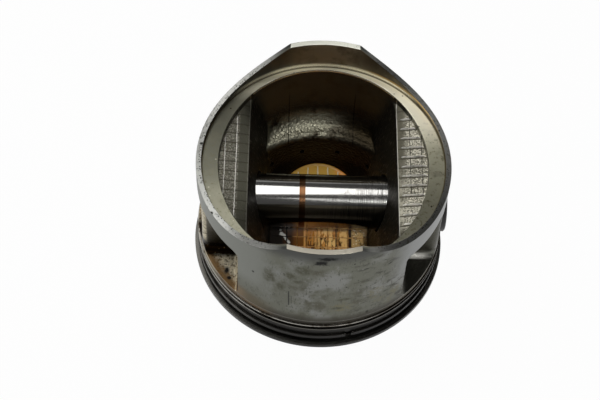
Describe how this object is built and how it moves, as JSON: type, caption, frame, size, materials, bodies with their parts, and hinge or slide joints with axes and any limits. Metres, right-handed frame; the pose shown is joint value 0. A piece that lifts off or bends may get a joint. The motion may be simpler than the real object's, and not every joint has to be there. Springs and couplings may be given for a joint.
{
  "type": "engine piston with rings and wrist pin",
  "caption": "Slipper-skirt engine piston standing on its crown, with compression rings, oil ring rails and expander, and a hollow wrist pin partly pushed out of its bosses.",
  "frame": {"origin": "centre of the crown face, which the piston stands on", "axes": "+Z along the cylinder axis to the open end of the skirt, X along the wrist pin towards the end that stands out, Y the thrust direction with -Y at the front"},
  "size_m": [0.0948, 0.0948, 0.068],
  "materials": {
    "cast_aluminium": "cast and turned, stained by use",
    "polished_steel": "ground and polished, with a band of brown varnish",
    "ring_iron": "dark, worn bright on its edges",
    "rail_steel": "bright rolled edge",
    "spring_steel": "dark spring steel"
  },
  "bodies": {
    "piston": {"piston_body": "cast_aluminium", "retaining_clip": "spring_steel"},
    "pin": {"wrist_pin": "polished_steel"},
    "ring_top": {"top_ring": "ring_iron"},
    "ring_second": {"second_ring": "ring_iron"},
    "rail_crown_side": {"oil_rail_crown_side": "rail_steel"},
    "expander": {"oil_expander": "spring_steel"},
    "rail_skirt_side": {"oil_rail_skirt_side": "rail_steel"}
  },
  "joints": [
    {"name": "wrist_pin_turn", "type": "hinge", "parent": "piston", "child": "pin", "pos_m": [0, 0, 0.03], "axis": [1, 0, 0], "continuous": true},
    {"name": "top_ring_turn", "type": "hinge", "parent": "piston", "child": "ring_top", "pos_m": [0, 0, 0.00455], "axis": [0, 0, 1], "continuous": true},
    {"name": "second_ring_turn", "type": "hinge", "parent": "piston", "child": "ring_second", "pos_m": [0, 0, 0.00905], "axis": [0, 0, 1], "continuous": true},
    {"name": "crown_side_rail_turn", "type": "hinge", "parent": "piston", "child": "rail_crown_side", "pos_m": [0, 0, 0.0148], "axis": [0, 0, 1], "continuous": true},
    {"name": "expander_turn", "type": "hinge", "parent": "piston", "child": "expander", "pos_m": [0, 0, 0.01605], "axis": [0, 0, 1], "continuous": true},
    {"name": "skirt_side_rail_turn", "type": "hinge", "parent": "piston", "child": "rail_skirt_side", "pos_m": [0, 0, 0.0173], "axis": [0, 0, 1], "continuous": true}
  ]
}
